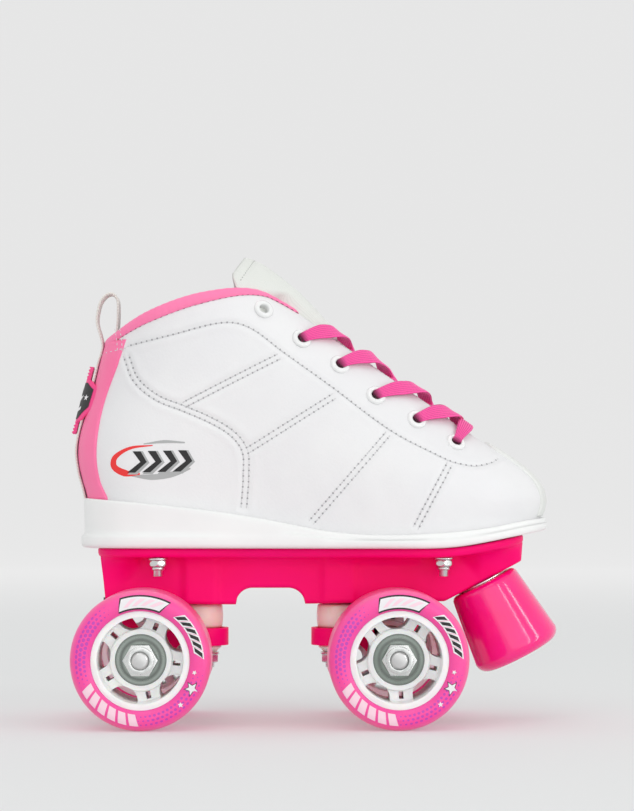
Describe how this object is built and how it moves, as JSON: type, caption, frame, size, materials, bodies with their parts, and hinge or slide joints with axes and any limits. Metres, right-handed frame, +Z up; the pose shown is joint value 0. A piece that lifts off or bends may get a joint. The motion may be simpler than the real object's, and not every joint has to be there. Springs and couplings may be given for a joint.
{
  "type": "quad roller skate",
  "caption": "Child's quad roller skate: a laced high-top boot bolted to a moulded plate with steering trucks, ball-bearing wheels and a toe stop.",
  "frame": {"origin": "on the floor, under the centre of the skate's bounding box", "axes": "+X towards the toe, +Y towards the inner side of a right boot, +Z up"},
  "size_m": [0.2163, 0.107, 0.207],
  "materials": {
    "boot_leather": "grained white synthetic leather, satin",
    "binding_foam": "padded pink binding, soft satin",
    "strap_web": "woven white webbing",
    "stay_pink": "pink synthetic leather",
    "badge_rubber": "moulded black rubber, pink rim",
    "tongue_textile": "off-white knit textile",
    "lace_pink": "flat ribbed lace",
    "eyelet_white": "gloss white enamel",
    "insole_foam": "grey knit over foam",
    "sole_white": "smooth white rubber",
    "plate_pink": "glossy moulded nylon",
    "zinc_steel": "zinc plated",
    "bearing_steel": "ground bearing steel",
    "stop_pink": "glossy moulded rubber",
    "cushion_cream": "cast urethane",
    "cup_rubber": "black rubber",
    "tyre_pink": "cast urethane, satin",
    "hub_white": "moulded white nylon"
  },
  "bodies": {
    "skate": {"boot_upper": "boot_leather", "collar_binding": "binding_foam", "heel_stay": "stay_pink", "back_strap": "strap_web", "heel_badge": "badge_rubber", "tongue": "tongue_textile", "toe_strip": "tongue_textile", "eyelets": "eyelet_white", "lace": "lace_pink", "insole": "insole_foam", "outsole": "sole_white", "plate": "plate_pink", "mount_bolts": "zinc_steel", "mount_washers": "zinc_steel", "mount_nuts": "zinc_steel", "toe_stop": "stop_pink", "toe_stop_bolt": "zinc_steel", "toe_stop_washer": "zinc_steel", "pivot_cups": "cup_rubber", "kingpins": "zinc_steel", "kingpin_washers": "zinc_steel", "kingpin_nuts": "zinc_steel", "upper_cushion_front": "cushion_cream", "upper_cushion_rear": "cushion_cream", "lower_cushion_front": "cushion_cream", "lower_cushion_rear": "cushion_cream"},
    "truck_front": {"hanger_front": "plate_pink", "axle_front": "zinc_steel", "axle_nuts_front": "zinc_steel", "axle_washers_front": "zinc_steel", "inner_races_front": "bearing_steel"},
    "truck_rear": {"hanger_rear": "plate_pink", "axle_rear": "zinc_steel", "axle_nuts_rear": "zinc_steel", "axle_washers_rear": "zinc_steel", "inner_races_rear": "bearing_steel"},
    "wheel_front_left": {"tyre_front_left": "tyre_pink", "hub_front_left": "hub_white", "outer_races_front_left": "bearing_steel"},
    "wheel_front_right": {"tyre_front_right": "tyre_pink", "hub_front_right": "hub_white", "outer_races_front_right": "bearing_steel"},
    "wheel_rear_left": {"tyre_rear_left": "tyre_pink", "hub_rear_left": "hub_white", "outer_races_rear_left": "bearing_steel"},
    "wheel_rear_right": {"tyre_rear_right": "tyre_pink", "hub_rear_right": "hub_white", "outer_races_rear_right": "bearing_steel"},
    "ballset_front_left": {"balls_front_left": "bearing_steel"},
    "ballset_front_right": {"balls_front_right": "bearing_steel"},
    "ballset_rear_left": {"balls_rear_left": "bearing_steel"},
    "ballset_rear_right": {"balls_rear_right": "bearing_steel"}
  },
  "joints": [
    {"name": "steer_front", "type": "hinge", "parent": "skate", "child": "truck_front", "pos_m": [0.0454, 0, 0.047], "axis": [0.969, 0, 0.2469], "range_deg": [-7, 7], "stiffness_Nm_per_rad": 8, "deforming": ["upper_cushion_front", "lower_cushion_front"]},
    {"name": "steer_rear", "type": "hinge", "parent": "skate", "child": "truck_rear", "pos_m": [-0.0886, 0, 0.047], "axis": [-0.969, 0, 0.2469], "range_deg": [-7, 7], "stiffness_Nm_per_rad": 8, "deforming": ["upper_cushion_rear", "lower_cushion_rear"]},
    {"name": "spin_front_left", "type": "hinge", "parent": "truck_front", "child": "wheel_front_left", "pos_m": [0.0334, 0, 0.03], "axis": [0, 1, 0], "continuous": true},
    {"name": "spin_front_right", "type": "hinge", "parent": "truck_front", "child": "wheel_front_right", "pos_m": [0.0334, 0, 0.03], "axis": [0, 1, 0], "continuous": true},
    {"name": "spin_rear_left", "type": "hinge", "parent": "truck_rear", "child": "wheel_rear_left", "pos_m": [-0.0766, 0, 0.03], "axis": [0, 1, 0], "continuous": true},
    {"name": "spin_rear_right", "type": "hinge", "parent": "truck_rear", "child": "wheel_rear_right", "pos_m": [-0.0766, 0, 0.03], "axis": [0, 1, 0], "continuous": true},
    {"name": "ball_orbit_front_left", "type": "hinge", "parent": "truck_front", "child": "ballset_front_left", "pos_m": [0.0334, 0, 0.03], "axis": [0, 1, 0], "continuous": true},
    {"name": "ball_orbit_front_right", "type": "hinge", "parent": "truck_front", "child": "ballset_front_right", "pos_m": [0.0334, 0, 0.03], "axis": [0, 1, 0], "continuous": true},
    {"name": "ball_orbit_rear_left", "type": "hinge", "parent": "truck_rear", "child": "ballset_rear_left", "pos_m": [-0.0766, 0, 0.03], "axis": [0, 1, 0], "continuous": true},
    {"name": "ball_orbit_rear_right", "type": "hinge", "parent": "truck_rear", "child": "ballset_rear_right", "pos_m": [-0.0766, 0, 0.03], "axis": [0, 1, 0], "continuous": true}
  ],
  "couplings": [
    {"joint": "ball_orbit_front_left", "follows": "spin_front_left", "ratio": 0.63227},
    {"joint": "ball_orbit_front_right", "follows": "spin_front_right", "ratio": 0.63227},
    {"joint": "ball_orbit_rear_left", "follows": "spin_rear_left", "ratio": 0.63227},
    {"joint": "ball_orbit_rear_right", "follows": "spin_rear_right", "ratio": 0.63227}
  ]
}
